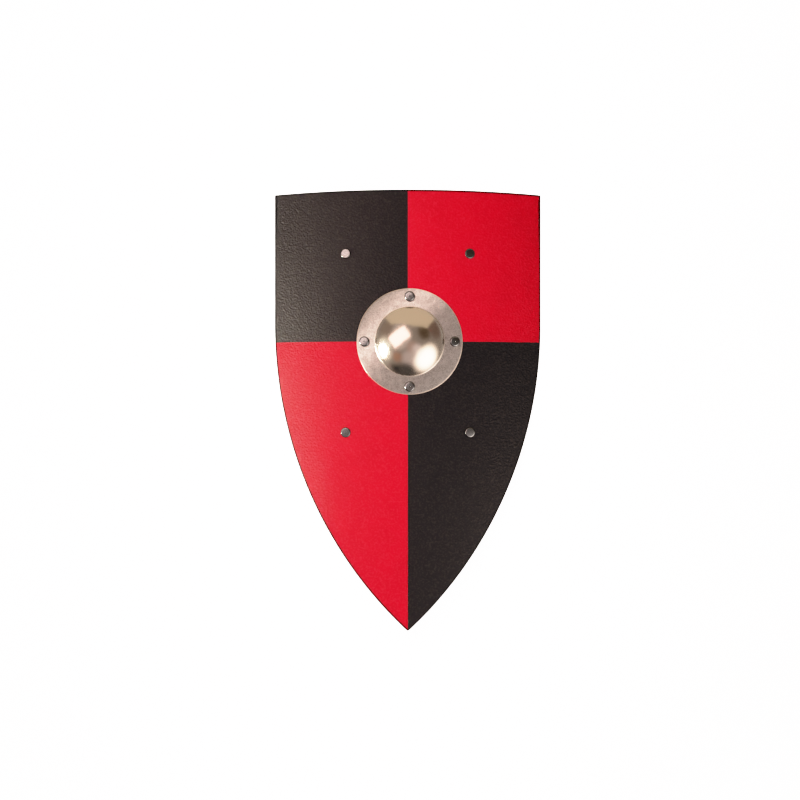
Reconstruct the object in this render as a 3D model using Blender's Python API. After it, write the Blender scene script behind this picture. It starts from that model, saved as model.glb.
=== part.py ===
"""Toy kite shield: a bent plywood board, a pressed steel boss and two leather straps, all riveted.

The shield lies face up on its two long edges. +Z points up out of the painted face, +Y points to the
straight top edge and -Y to the tip. The origin is at the middle of its box, on the surface it lies on.
All lengths are in metres.
"""

import math

import bmesh
import bpy
from mathutils import Matrix, Vector

# Board
BOARD_WIDTH = 0.300
BOARD_LENGTH = 0.490
BOARD_THICKNESS = 0.005
BEND_RISE = 0.030
TOP_RISE = 0.002
SIDE_LENGTH = 0.1465
CORNER_ROUND = 0.0012
EDGE_ROUND = 0.0008
REST_FLAT_DEPTH = 0.0014
COLOUR_LINE_BELOW_TOP = 0.1685

# Boss
BOSS_DIAMETER = 0.118
BOSS_SHEET = 0.001
BOSS_SIDE_STEP = 0.002
DOME_DIAMETER = 0.077
DOME_HEIGHT = 0.015
DOME_FILLET = 0.0016
BOSS_HOLE_CIRCLE = 0.100

# Straps
STRAP_SPREAD = 0.138
STRAP_SPAN = 0.199
STRAPS_BELOW_TOP = 0.170
STRAP_WIDTH = 0.028
STRAP_THICKNESS = 0.0025
STRAP_EDGE = 0.0005
STRAP_FLAT_END = 0.011
STRAP_RAMP = 0.036
ARM_STRAP_CLEARANCE = 0.0008
HAND_STRAP_CLEARANCE = 0.0040

# Rivets and washers
SHANK_DIAMETER = 0.004
HEAD_DIAMETER = 0.0115
PAN_HEAD_HEIGHT = 0.0022
PAN_HEAD_TOP = 0.0078
PAN_HEAD_RIM = 0.0006
PIN_HOLE_DIAMETER = 0.0018
PIN_HOLE_DEPTH = 0.0005
LOW_HEAD_HEIGHT = 0.0016
LOW_HEAD_TOP = 0.0086
LOW_HEAD_RIM = 0.0004
TAIL_DIAMETER = 0.0072
TAIL_HEIGHT = 0.0018
TAIL_TOP = 0.0036
WASHER_DIAMETER = 0.012
WASHER_THICKNESS = 0.001

# Gaps between pieces that touch, and the play of a shank in its hole
SEAT_GAP = 0.0003
HOLE_PLAY = 0.0003

# Smoothness of the faceted shapes
SMOOTH_ANGLE = 30.0
BEND_STEPS = 26
ARC_STEPS = 20
TOP_STEPS = 8
CORNER_STEPS = 3
ROUND_STEPS = 2
BOSS_STEPS = 52
DOME_STEPS = 7
FILLET_STEPS = 3
FLANGE_RINGS = 3
RIVET_STEPS = 16
HEAD_STEPS = 3
TAIL_STEPS = 2
STRAP_END_STEPS = 4
STRAP_RAMP_STEPS = 7
# Two points this far to either side give the strap's slope at a place.
SLOPE_REACH = 0.0004

# Measures that follow from the ones above
TOP_Y = BOARD_LENGTH / 2
TIP_Y = -BOARD_LENGTH / 2
BEND_RADIUS = ((BOARD_WIDTH / 2) ** 2 + BEND_RISE**2) / (2 * BEND_RISE)
BACK_RADIUS = BEND_RADIUS - BOARD_THICKNESS
# The board is widest just under its face, where the rounded edge ends.
EDGE_ANGLE = math.asin(BOARD_WIDTH / 2 / (BEND_RADIUS - EDGE_ROUND))
HALF_WIDTH = BEND_RADIUS * math.sin(EDGE_ANGLE)
BEND_AXIS_DEPTH = BACK_RADIUS * math.cos(EDGE_ANGLE) + REST_FLAT_DEPTH
COLOUR_LINE_Y = TOP_Y - COLOUR_LINE_BELOW_TOP
STRAP_Y = TOP_Y - STRAPS_BELOW_TOP
STRAP_X = STRAP_SPREAD / 2
STRAP_ARCH = BACK_RADIUS - math.sqrt(BACK_RADIUS**2 - (STRAP_WIDTH / 2) ** 2)
STRAP_SEAT_DEPTH = BOARD_THICKNESS + SEAT_GAP + STRAP_ARCH
CUTTER_LENGTH = 0.04
WELD = 0.000001


def clear_scene():
    """Removes every object of the scene, the start-up ones too."""
    for thing in list(bpy.data.objects):
        bpy.data.objects.remove(thing, do_unlink=True)


def make_material(name, colour, roughness, metallic=0.0):
    """A plain material with the part's colour and shine."""
    material = bpy.data.materials.new(name)
    material.use_nodes = True
    shader = material.node_tree.nodes["Principled BSDF"]
    shader.inputs["Base Color"].default_value = (*colour, 1.0)
    shader.inputs["Roughness"].default_value = roughness
    shader.inputs["Metallic"].default_value = metallic
    return material


def add_object(name, mesh, materials=()):
    """Puts a mesh into the scene as an object of that name."""
    thing = bpy.data.objects.new(name, mesh)
    bpy.context.scene.collection.objects.link(thing)
    for material in materials:
        mesh.materials.append(material)
    return thing


def mesh_from(name, bm):
    """Turns a bmesh into a mesh with its faces outwards, smooth where they meet at a small angle."""
    bmesh.ops.recalc_face_normals(bm, faces=bm.faces[:])
    mesh = bpy.data.meshes.new(name)
    bm.to_mesh(mesh)
    bm.free()
    mesh.shade_smooth()
    mesh.set_sharp_from_angle(angle=math.radians(SMOOTH_ANGLE))
    return mesh


def bend(x, y, depth):
    """A point at plan position x, y and at a depth under the board's painted face, measured square to it."""
    angle = math.asin(x / BEND_RADIUS)
    radius = BEND_RADIUS - depth
    return Vector((radius * math.sin(angle), y, radius * math.cos(angle) - BEND_AXIS_DEPTH))


def square_to_board(x, y, height=0.0):
    """A placement whose local Z leaves the painted face squarely, at a height above it."""
    turn = Matrix.Rotation(math.asin(x / BEND_RADIUS), 4, "Y")
    return Matrix.Translation(bend(x, y, -height)) @ turn


def cut(thing, cutter):
    """Takes the cutter's shape out of the object."""
    modifier = thing.modifiers.new("cut " + cutter.name, "BOOLEAN")
    modifier.operation = "DIFFERENCE"
    modifier.solver = "EXACT"
    modifier.object = cutter


def hide_cutter(thing):
    """Marks an object as a tool that is no piece of the shield."""
    thing.hide_render = True
    thing.display_type = "WIRE"
    return thing


def make_hole_cutter(name, x, y):
    """A drill as wide as a shank with its play, square to the board."""
    bm = bmesh.new()
    radius = SHANK_DIAMETER / 2 + HOLE_PLAY
    bmesh.ops.create_cone(
        bm, cap_ends=True, segments=RIVET_STEPS, radius1=radius, radius2=radius, depth=CUTTER_LENGTH
    )
    cutter = add_object(name, mesh_from(name, bm))
    cutter.matrix_world = square_to_board(x, y)
    return hide_cutter(cutter)


def make_rest_cutter():
    """A block that sands the two lower arrises flat, so that the board lies steadily on them."""
    bm = bmesh.new()
    bmesh.ops.create_cube(bm, size=1.0)
    bmesh.ops.scale(bm, vec=(2 * BOARD_WIDTH, 2 * BOARD_LENGTH, BEND_RISE), verts=bm.verts[:])
    bmesh.ops.translate(bm, vec=(0, 0, -BEND_RISE / 2), verts=bm.verts[:])
    return hide_cutter(add_object("rest_cutter", mesh_from("rest_cutter", bm)))


def outline():
    """The board's plan from the tip round to the tip: a side arc, a straight side, the top, and back."""
    corner_y = TOP_Y - TOP_RISE
    side_end_y = corner_y - SIDE_LENGTH
    reach = side_end_y - TIP_Y
    sweep = 2 * math.atan2(HALF_WIDTH, reach)
    radius = reach / math.sin(sweep)
    side = []
    for step in range(1, ARC_STEPS + 1):
        angle = sweep * (1 - step / ARC_STEPS)
        side.append((HALF_WIDTH - radius * (1 - math.cos(angle)), side_end_y - radius * math.sin(angle)))
    top = []
    for step in range(TOP_STEPS + 1):
        across = 1 - 2 * step / TOP_STEPS
        top.append((HALF_WIDTH * across, corner_y + TOP_RISE * (1 - across**2)))
    other_side = [(-x, y) for x, y in reversed(side)]
    return [(0.0, TIP_Y)] + side + top + other_side


def plan_sheet():
    """The outline as a flat sheet, with rings for its rounded edge and lines at bends and colour changes.

    Each vertex keeps how far the rounded edge sets it back from the face.
    """
    bm = bmesh.new()
    set_back = bm.verts.layers.float.new("set_back")
    points = outline()
    corners = (points[0], points[ARC_STEPS + 1], points[ARC_STEPS + 1 + TOP_STEPS])
    rim = [bm.verts.new((x, y, 0)) for x, y in points]
    bm.faces.new(rim)
    sharp = [vert for vert, point in zip(rim, points) if point in corners]
    bmesh.ops.bevel(
        bm, geom=sharp, offset=CORNER_ROUND, segments=CORNER_STEPS, profile=0.5, affect="VERTICES"
    )
    for vert in bm.verts:
        vert[set_back] = EDGE_ROUND
    bm.faces.ensure_lookup_table()
    middle = bm.faces[0]
    inset = 0.0
    for step in range(1, ROUND_STEPS + 1):
        angle = math.radians(90) * step / ROUND_STEPS
        wanted = EDGE_ROUND * (1 - math.cos(angle))
        bmesh.ops.inset_region(
            bm, faces=[middle], thickness=wanted - inset, use_even_offset=True, use_boundary=True
        )
        inset = wanted
        for vert in middle.verts:
            vert[set_back] = EDGE_ROUND * (1 - math.sin(angle))
    for step in range(1, BEND_STEPS):
        angle = EDGE_ANGLE * (2 * step / BEND_STEPS - 1)
        slice_sheet(bm, (BEND_RADIUS * math.sin(angle), 0, 0), (1, 0, 0))
    slice_sheet(bm, (0, COLOUR_LINE_Y, 0), (0, 1, 0))
    return bm


def slice_sheet(bm, point, direction):
    """Adds a straight line of edges across the sheet."""
    bmesh.ops.bisect_plane(
        bm,
        geom=bm.verts[:] + bm.edges[:] + bm.faces[:],
        dist=WELD,
        plane_co=point,
        plane_no=direction,
    )


def quarter_slot(x, y):
    """The paint slot of a place on the face: black at the upper left and lower right, else red."""
    is_black = (x < 0) == (y > COLOUR_LINE_Y)
    return 2 if is_black else 1


def make_board(materials):
    """The plywood panel: the sheet's face and back, bent, with its edge closed all round."""
    sheet = plan_sheet()
    set_back = sheet.verts.layers.float["set_back"]
    bm = bmesh.new()
    front = {}
    back = {}
    for vert in sheet.verts:
        x, y, _ = vert.co
        front[vert] = bm.verts.new(bend(x, y, vert[set_back]))
        back[vert] = bm.verts.new(bend(x, y, BOARD_THICKNESS - vert[set_back]))
    for face in sheet.faces:
        middle = face.calc_center_median()
        is_up = face.normal.z > 0
        loop = face.verts[:] if is_up else list(reversed(face.verts))
        painted = bm.faces.new([front[vert] for vert in loop])
        painted.material_index = quarter_slot(middle.x, middle.y)
        bm.faces.new([back[vert] for vert in reversed(loop)])
    for edge in sheet.edges:
        if edge.is_boundary:
            first, second = edge.verts
            bm.faces.new([front[first], front[second], back[second], back[first]])
    sheet.free()
    bmesh.ops.triangulate(bm, faces=bm.faces[:])
    return add_object("board", mesh_from("board", bm), materials)


def revolve(profile, steps, closed=False):
    """A round body from the (radius, height) points of its half section."""
    bm = bmesh.new()
    points = [bm.verts.new((radius, 0, height)) for radius, height in profile]
    pairs = list(zip(points, points[1:]))
    if closed:
        pairs.append((points[-1], points[0]))
    lines = [bm.edges.new(pair) for pair in pairs]
    bmesh.ops.spin(
        bm,
        geom=points + lines,
        cent=(0, 0, 0),
        axis=(0, 0, 1),
        angle=math.tau,
        steps=steps,
        use_merge=True,
    )
    bmesh.ops.remove_doubles(bm, verts=bm.verts[:], dist=WELD)
    return bm


def boss_side(offset):
    """One side of the pressed sheet from its apex to the rim, at an offset under the outer side.

    The dome is part of a ball. A fillet that touches the ball and the flange joins the two.
    """
    base = DOME_DIAMETER / 2
    ball = (base**2 + DOME_HEIGHT**2) / (2 * DOME_HEIGHT)
    fillet_height = BOSS_SHEET + DOME_FILLET
    centre_drop = ball + DOME_FILLET - DOME_HEIGHT
    foot = math.sqrt((ball + DOME_FILLET) ** 2 - centre_drop**2)
    touch = math.atan2(foot, centre_drop)
    points = []
    for step in range(DOME_STEPS):
        angle = touch * step / DOME_STEPS
        height = BOSS_SHEET + DOME_HEIGHT - ball + (ball - offset) * math.cos(angle)
        points.append(((ball - offset) * math.sin(angle), height))
    for step in range(FILLET_STEPS):
        angle = touch * (1 - step / FILLET_STEPS)
        radius = DOME_FILLET + offset
        points.append((foot - radius * math.sin(angle), fillet_height - radius * math.cos(angle)))
    rim = BOSS_DIAMETER / 2
    for ring in range(FLANGE_RINGS + 1):
        points.append((foot + (rim - foot) * ring / FLANGE_RINGS, BOSS_SHEET - offset))
    return points


def make_boss(material):
    """The pressed steel boss. Its flange follows the board's bend, which fades out up the dome."""
    profile = boss_side(0.0) + list(reversed(boss_side(BOSS_SHEET)))
    bm = revolve(profile, BOSS_STEPS)
    crown = bend(BOSS_SIDE_STEP, 0, 0).z
    foot = DOME_DIAMETER / 2
    for vert in bm.verts:
        x = vert.co.x + BOSS_SIDE_STEP
        share = min(1.0, math.hypot(vert.co.x, vert.co.y) / foot)
        drop = crown - bend(x, 0, 0).z
        vert.co.z -= drop * share**2
    bmesh.ops.triangulate(bm, faces=bm.faces[:])
    boss = add_object("boss", mesh_from("boss", bm), [material])
    boss.location = (BOSS_SIDE_STEP, COLOUR_LINE_Y, crown + SEAT_GAP)
    return boss


def rounded_side(flat, rim, height, steps):
    """Half section of a button's side, from the rim of its flat top down to its outer rim at zero."""
    points = []
    for step in range(steps + 1):
        angle = math.radians(90) * step / steps
        points.append((flat + (rim - flat) * math.sin(angle), height * math.cos(angle)))
    return points


def pan_head():
    """Half section of the boss rivets' heads: a dimple, a flat top, a rounded side and a thin rim."""
    dimple = PIN_HOLE_DIAMETER / 2
    rim = HEAD_DIAMETER / 2
    side = rounded_side(PAN_HEAD_TOP / 2, rim, PAN_HEAD_HEIGHT - PAN_HEAD_RIM, HEAD_STEPS)
    return [
        (0, PAN_HEAD_HEIGHT - PIN_HOLE_DEPTH),
        (dimple, PAN_HEAD_HEIGHT - PIN_HOLE_DEPTH),
        (dimple, PAN_HEAD_HEIGHT),
        *[(radius, height + PAN_HEAD_RIM) for radius, height in side],
        (rim, 0),
    ]


def low_head():
    """Half section of the strap rivets' heads: a flat top, a rounded side and a thin rim."""
    rim = HEAD_DIAMETER / 2
    side = rounded_side(LOW_HEAD_TOP / 2, rim, LOW_HEAD_HEIGHT - LOW_HEAD_RIM, HEAD_STEPS)
    return [(0, LOW_HEAD_HEIGHT), *[(radius, height + LOW_HEAD_RIM) for radius, height in side], (rim, 0)]


def rivet_mesh(name, head, grip):
    """One rivet: its head above zero, its shank as long as what it holds, and its set tail."""
    shank = SHANK_DIAMETER / 2
    tail = rounded_side(TAIL_TOP / 2, TAIL_DIAMETER / 2, TAIL_HEIGHT, TAIL_STEPS)
    profile = head + [
        (shank, 0),
        (shank, -grip),
        *[(radius, -grip - height) for radius, height in reversed(tail)],
        (0, -grip - TAIL_HEIGHT),
    ]
    return mesh_from(name, revolve(profile, RIVET_STEPS))


def washer_mesh(name):
    """A flat ring with the rivets' hole."""
    inner = SHANK_DIAMETER / 2 + HOLE_PLAY
    outer = WASHER_DIAMETER / 2
    section = [(inner, 0), (outer, 0), (outer, -WASHER_THICKNESS), (inner, -WASHER_THICKNESS)]
    return mesh_from(name, revolve(section, RIVET_STEPS, closed=True))


def place(name, mesh, x, y, height):
    """Adds an object square to the board, at a height above its face or, below zero, under it."""
    thing = add_object(name, mesh)
    thing.matrix_world = square_to_board(x, y, height)
    return thing


def strap_depth(inward, lowest):
    """How deep the strap's middle line lies at a distance from its lower rivet, and how far it has sunk."""
    seat = STRAP_SEAT_DEPTH + STRAP_THICKNESS / 2
    nearer = min(inward, STRAP_SPAN - inward)
    share = min(1.0, max(0.0, (nearer - STRAP_FLAT_END) / STRAP_RAMP))
    sunk = share * share * (3 - 2 * share)
    return seat + (lowest - seat) * sunk, sunk


def strap_stations():
    """Distances from the lower rivet, with the half width there, from one round end to the other."""
    half = STRAP_WIDTH / 2
    stations = []
    for step in range(1, STRAP_END_STEPS + 1):
        angle = math.radians(90) * step / STRAP_END_STEPS
        stations.append((-half * math.cos(angle), half * math.sin(angle)))
    for step in range(STRAP_RAMP_STEPS + 1):
        stations.append((STRAP_FLAT_END + STRAP_RAMP * step / STRAP_RAMP_STEPS, half))
    mirrored = [(STRAP_SPAN - inward, width) for inward, width in reversed(stations)]
    return stations + mirrored


def strap_section(half):
    """The strap's cross-section with eased arrises, as (across, out) pairs."""
    thick = STRAP_THICKNESS / 2
    return [
        (half, thick - STRAP_EDGE),
        (half - STRAP_EDGE, thick),
        (STRAP_EDGE - half, thick),
        (-half, thick - STRAP_EDGE),
        (-half, STRAP_EDGE - thick),
        (STRAP_EDGE - half, -thick),
        (half - STRAP_EDGE, -thick),
        (half, STRAP_EDGE - thick),
    ]


def make_strap(name, side_x, clearance, material, cutters):
    """A leather strap, flat on the board's back at its ends and slack between them, down to the table."""
    angle = math.asin(side_x / BEND_RADIUS)
    low_height = clearance + STRAP_THICKNESS / 2
    lowest = BEND_RADIUS - (low_height + BEND_AXIS_DEPTH) / math.cos(angle)
    start_y = STRAP_Y - STRAP_SPAN / 2
    bm = bmesh.new()
    rings = []
    for inward, half in strap_stations():
        depth, sunk = strap_depth(inward, lowest)
        before, _ = strap_depth(inward - SLOPE_REACH, lowest)
        after, _ = strap_depth(inward + SLOPE_REACH, lowest)
        centre = bend(side_x, start_y + inward, depth)
        along = bend(side_x, SLOPE_REACH, after) - bend(side_x, -SLOPE_REACH, before)
        tilt = angle * (1 - sunk)
        across = Vector((math.cos(tilt), 0, -math.sin(tilt)))
        out = across.cross(along).normalized()
        ring = [bm.verts.new(centre + across * a + out * b) for a, b in strap_section(half)]
        rings.append(ring)
    for ring, following in zip(rings, rings[1:]):
        for index in range(len(ring)):
            other = (index + 1) % len(ring)
            bm.faces.new([ring[index], ring[other], following[other], following[index]])
    bm.faces.new(rings[0])
    bm.faces.new(rings[-1])
    bmesh.ops.triangulate(bm, faces=bm.faces[:])
    strap = add_object(name, mesh_from(name, bm), [material])
    for cutter in cutters:
        cut(strap, cutter)
    return strap


def build_shield():
    """All the pieces of the shield."""
    clear_scene()
    wood = make_material("bare plywood", (0.62, 0.43, 0.24), 0.6)
    red = make_material("red paint", (0.74, 0.004, 0.020), 0.45)
    black = make_material("black paint", (0.012, 0.010, 0.010), 0.45)
    steel = make_material("satin steel", (0.62, 0.58, 0.54), 0.3, 1.0)
    rivet_steel = make_material("rivet steel", (0.50, 0.49, 0.48), 0.25, 1.0)
    washer_steel = make_material("zinc washer", (0.55, 0.56, 0.57), 0.4, 1.0)
    leather = make_material("brown leather", (0.16, 0.07, 0.03), 0.55)

    board = make_board([wood, red, black])
    cut(board, make_rest_cutter())
    boss = make_boss(steel)

    washer = washer_mesh("washer")
    washer.materials.append(washer_steel)

    boss_lift = SEAT_GAP + BOSS_SHEET + SEAT_GAP
    boss_grip = boss_lift + BOARD_THICKNESS + SEAT_GAP + WASHER_THICKNESS + SEAT_GAP
    boss_rivet = rivet_mesh("boss_rivet", pan_head(), boss_grip)
    boss_rivet.materials.append(rivet_steel)
    for place_name, turn in (("right", 0), ("top", 90), ("left", 180), ("bottom", 270)):
        x = BOSS_SIDE_STEP + BOSS_HOLE_CIRCLE / 2 * math.cos(math.radians(turn))
        y = COLOUR_LINE_Y + BOSS_HOLE_CIRCLE / 2 * math.sin(math.radians(turn))
        drill = make_hole_cutter("drill_" + place_name, x, y)
        cut(board, drill)
        cut(boss, drill)
        place("boss_rivet_" + place_name, boss_rivet, x, y, boss_lift)
        place("boss_washer_" + place_name, washer, x, y, -BOARD_THICKNESS - SEAT_GAP)

    strap_back = STRAP_SEAT_DEPTH + STRAP_THICKNESS
    strap_grip = SEAT_GAP + strap_back + SEAT_GAP + WASHER_THICKNESS + SEAT_GAP
    strap_rivet = rivet_mesh("strap_rivet", low_head(), strap_grip)
    strap_rivet.materials.append(rivet_steel)
    straps = (
        ("arm_strap", STRAP_X, ARM_STRAP_CLEARANCE),
        ("hand_strap", -STRAP_X, HAND_STRAP_CLEARANCE),
    )
    for strap_name, x, clearance in straps:
        drills = []
        for end, side in (("upper", 1), ("lower", -1)):
            y = STRAP_Y + side * STRAP_SPAN / 2
            drill = make_hole_cutter("drill_" + strap_name + "_" + end, x, y)
            drills.append(drill)
            cut(board, drill)
            place(strap_name + "_rivet_" + end, strap_rivet, x, y, SEAT_GAP)
            place(strap_name + "_washer_" + end, washer, x, y, -strap_back - SEAT_GAP)
        make_strap(strap_name, x, clearance, leather, drills)


build_shield()
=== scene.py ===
# %% [markdown]
# A child's wooden shield. A plywood board is pressed over a drum, painted in red and black
# quarters, and carries a pressed steel boss on its middle and two leather straps on its back.
# The solids are ready and stay where they are. This lesson gives each piece its real surface.

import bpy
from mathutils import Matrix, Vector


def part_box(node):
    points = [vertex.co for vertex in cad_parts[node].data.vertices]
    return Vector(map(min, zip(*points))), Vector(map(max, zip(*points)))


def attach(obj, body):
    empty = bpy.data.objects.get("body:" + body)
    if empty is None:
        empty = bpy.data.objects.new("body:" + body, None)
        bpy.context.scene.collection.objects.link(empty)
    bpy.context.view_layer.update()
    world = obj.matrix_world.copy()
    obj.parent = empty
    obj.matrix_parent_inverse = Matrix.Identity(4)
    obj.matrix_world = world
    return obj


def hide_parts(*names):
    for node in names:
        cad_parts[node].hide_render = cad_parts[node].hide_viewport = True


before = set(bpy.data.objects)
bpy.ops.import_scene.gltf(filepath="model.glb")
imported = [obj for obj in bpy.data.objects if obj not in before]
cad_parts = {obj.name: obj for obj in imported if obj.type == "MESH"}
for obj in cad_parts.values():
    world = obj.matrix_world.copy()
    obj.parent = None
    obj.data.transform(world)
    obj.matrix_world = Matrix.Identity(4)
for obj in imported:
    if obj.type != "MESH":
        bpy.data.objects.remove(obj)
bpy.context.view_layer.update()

# %% The modules used below
import math

import bmesh
import bpy
from mathutils import Matrix, Vector

# %% [markdown]
# The board is a flat sheet wrapped over a drum, so two numbers hold its whole bend: the drum's
# radius and how deep its axis lies below the table. A sheet's rise over its width gives the
# radius. The rest is read from the board's solid, so the looks can't drift away from it.

# %% The board's sizes
BEND_RISE = 0.030
BOARD_THICKNESS = 0.005
EDGE_ROUND = 0.0008
TOP_RISE = 0.002
SIDE_LENGTH = 0.1465
COLOUR_LINE_BELOW_TOP = 0.1685

board_low, board_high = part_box("board")
board_width = board_high.x - board_low.x
top_y = board_high.y
tip_y = -top_y
crown = board_high.z
bend_radius = ((board_width / 2) ** 2 + BEND_RISE**2) / (2 * BEND_RISE)
axis_depth = bend_radius - crown
edge_angle = math.asin(board_width / 2 / (bend_radius - EDGE_ROUND))
half_width = bend_radius * math.sin(edge_angle)
colour_line_y = top_y - COLOUR_LINE_BELOW_TOP
print("drum radius", round(bend_radius, 4), "colour line", round(colour_line_y, 4))


# %% A point on the bent board
def bent(x, y, depth=0.0):
    """The place of a point of the flat sheet, at a depth under its painted face."""
    angle = math.asin(x / bend_radius)
    radius = bend_radius - depth
    return Vector((radius * math.sin(angle), y, radius * math.cos(angle) - axis_depth))


print("the board's middle lies", round(bent(0, 0).z * 1000, 1), "mm up")

# %% [markdown]
# The photograph looks squarely down on the face. The top edge is bent like a bow only because
# its ends lie lower than its middle, so the amount of bow gives the camera's distance. The
# picture's middle falls a little left of the shield's middle and a little above it.

# %% Camera
PHOTO_SIDE = 800
FOCAL_PIXELS = 1381.0
SENSOR_WIDTH = 36.0
CAMERA_ABOVE_CROWN = 1.531
PICTURE_MIDDLE = (-0.0087, 0.0116)

scene = bpy.context.scene
camera_data = bpy.data.cameras.new("camera")
camera_data.sensor_width = SENSOR_WIDTH
camera_data.lens = SENSOR_WIDTH * FOCAL_PIXELS / PHOTO_SIDE
camera = bpy.data.objects.new("camera", camera_data)
camera.location = (*PICTURE_MIDDLE, crown + CAMERA_ABOVE_CROWN)
scene.collection.objects.link(camera)
scene.camera = camera
print("lens", round(camera_data.lens, 2), "mm")

# %% [markdown]
# A photograph deepens its darkest tones and presses bright ones together, so that black paint
# looks black and a lamp mirrored in steel still has a colour. The standard view does neither.
# A curve on top of it does both: a soft toe at the dark end and a soft shoulder above a knee.

# %% Tone curve
TOE = 0.047
KNEE = 0.6
BRIGHTEST = 2.56
TONE_STEPS = (0.01, 0.02, 0.03, 0.05, 0.08, 0.12, 0.2, 0.4, 0.6, 0.8, 1.0, 1.25, 1.6, 2.0)


def tone(value):
    """How bright a value is shown."""
    deepened = value - TOE * (1 - math.exp(-value / TOE))
    if deepened < KNEE:
        return deepened
    return 1 - (1 - KNEE) * math.exp(-(deepened - KNEE) / (1 - KNEE))


view = scene.view_settings
view.view_transform = "Standard"
view.use_curve_mapping = True
view.curve_mapping.white_level = (BRIGHTEST, BRIGHTEST, BRIGHTEST)
response = view.curve_mapping.curves[3]
for value in TONE_STEPS:
    response.points.new(value / BRIGHTEST, tone(value)).handle_type = "AUTO_CLAMPED"
view.curve_mapping.update()
print("shown tones", [(value, round(tone(value), 3)) for value in (0.02, 0.2, 1.0)])

# %% [markdown]
# Every finish below is a small network of nodes. One helper adds a node, sets what it is told
# and joins it to the sockets that it is given, so that a finish reads from top to bottom. A
# socket knows the network that it lies in, so most helpers need only the sockets.


# %% Helpers for node networks
def is_socket(value):
    """Tells another node's socket from a plain number or colour."""
    return isinstance(value, bpy.types.NodeSocket)


def join(node, inputs):
    """Fills a node's inputs. Each takes a number, a colour or another node's socket."""
    for name, value in inputs.items():
        if is_socket(value):
            node.id_data.links.new(value, node.inputs[name])
        else:
            node.inputs[name].default_value = value


def add(tree, kind, inputs=None, **settings):
    """Adds a node with its settings and its inputs."""
    made = tree.nodes.new(kind)
    for name, value in settings.items():
        setattr(made, name, value)
    join(made, inputs or {})
    return made


def follow(kind, inputs, result=0, **settings):
    """Adds a node to the network of the sockets that it is given. Returns its result's socket."""
    tree = next(value.id_data for value in inputs.values() if is_socket(value))
    return add(tree, kind, inputs, **settings).outputs[result]


# %% Helpers for arithmetic, which all return a socket
def calculate(operation, first, second=0.0):
    """One step of arithmetic."""
    return follow("ShaderNodeMath", {0: first, 1: second}, operation=operation)


def calculate_vector(operation, *vectors, result="Vector"):
    """One step of arithmetic on vectors."""
    return follow("ShaderNodeVectorMath", dict(enumerate(vectors)), result, operation=operation)


def split(vector):
    """The three numbers of a vector, each as its own socket."""
    return add(vector.id_data, "ShaderNodeSeparateXYZ", {"Vector": vector}).outputs


def combine(**numbers):
    """A vector from those of its three numbers that aren't zero."""
    return follow("ShaderNodeCombineXYZ", numbers)


def remap(value, low, high, new_low=0.0, new_high=1.0, way="LINEAR"):
    """Stretches a value from one range to another and stops at the ends."""
    inputs = {"Value": value, "From Min": low, "From Max": high, "To Min": new_low, "To Max": new_high}
    return follow("ShaderNodeMapRange", inputs, "Result", interpolation_type=way)


def blend_values(share, first, second):
    """Goes from the first number to the second with the share."""
    return follow("ShaderNodeMix", {0: share, 2: first, 3: second}, data_type="FLOAT")


def blend_colours(share, first, second):
    """Goes from the first colour to the second with the share."""
    return follow("ShaderNodeMix", {0: share, 6: first, 7: second}, 2, data_type="RGBA")


# %% Helpers for finishes
NOISE_LOW = 0.3
NOISE_HIGH = 0.7


def new_finish(name):
    """An empty material. Returns it with its tree and its shader."""
    finish = bpy.data.materials.new(name)
    finish.use_nodes = True
    tree = finish.node_tree
    return finish, tree, tree.nodes["Principled BSDF"]


def places(tree, scale=(1.0, 1.0, 1.0), centre=(0.0, 0.0, 0.0), turn=0.0):
    """The place on the object, in metres times a scale, counted from a centre and turned."""
    inputs = {
        "Vector": add(tree, "ShaderNodeTexCoord").outputs["Object"],
        "Location": [-middle * size for middle, size in zip(centre, scale)],
        "Rotation": (0, 0, math.radians(turn)),
        "Scale": scale,
    }
    return follow("ShaderNodeMapping", inputs)


def kept(tree, name, result="Fac"):
    """What the points of the mesh keep under a name."""
    return add(tree, "ShaderNodeAttribute", attribute_name=name).outputs[result]


def noise(vector, scale=1.0, detail=2.0, roughness=0.5):
    """Soft random values from 0 to 1."""
    inputs = {"Vector": vector, "Scale": scale, "Detail": detail, "Roughness": roughness}
    return follow("ShaderNodeTexNoise", inputs, "Fac")


def spread(value, new_low=0.0, new_high=1.0):
    """Noise seldom leaves the middle of its range. This stretches it over a whole one."""
    return remap(value, NOISE_LOW, NOISE_HIGH, new_low, new_high)


def bump(height, distance, below=None, strength=1.0):
    """Relief of a height in metres, laid over another relief if there is one."""
    inputs = {"Height": height, "Distance": distance, "Strength": strength}
    if below is not None:
        inputs["Normal"] = below
    return follow("ShaderNodeBump", inputs, "Normal")


def darker(colour, share):
    """A colour with only a share of its brightness."""
    return tuple(value * share for value in colour[:3]) + (1.0,)


# %% [markdown]
# The shield lies on a white table with a pale backdrop far behind it. Both only show white to
# the camera. What lights the shield are soft lamps, and a polished dome shows their shapes: a
# tilted softbox at the upper left, a strong lamp low on the left in its own wide glow, and a
# broad one at the lower right. A warm wall over the top and the dim room between them only tint
# what the steel shows. A lamp colours paint in two ways, by its light and by its shine. The low
# lamps give shine only and a strip over the shield gives light only, so each is set by itself.

# %% Studio sizes
TABLE_RADIUS = 12.0
BACKDROP_HEIGHT = 9.0
STAGE_SEGMENTS = 96
TABLE_WHITE = 0.86
TABLE_GLOW = 1.6
BACKDROP_GLOW = 3.0


# %% A built mesh as an object
def as_object(name, bm):
    """Puts what was built into the scene as an object."""
    mesh = bpy.data.meshes.new(name)
    bm.to_mesh(mesh)
    bm.free()
    thing = bpy.data.objects.new(name, mesh)
    scene.collection.objects.link(thing)
    return thing


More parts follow.
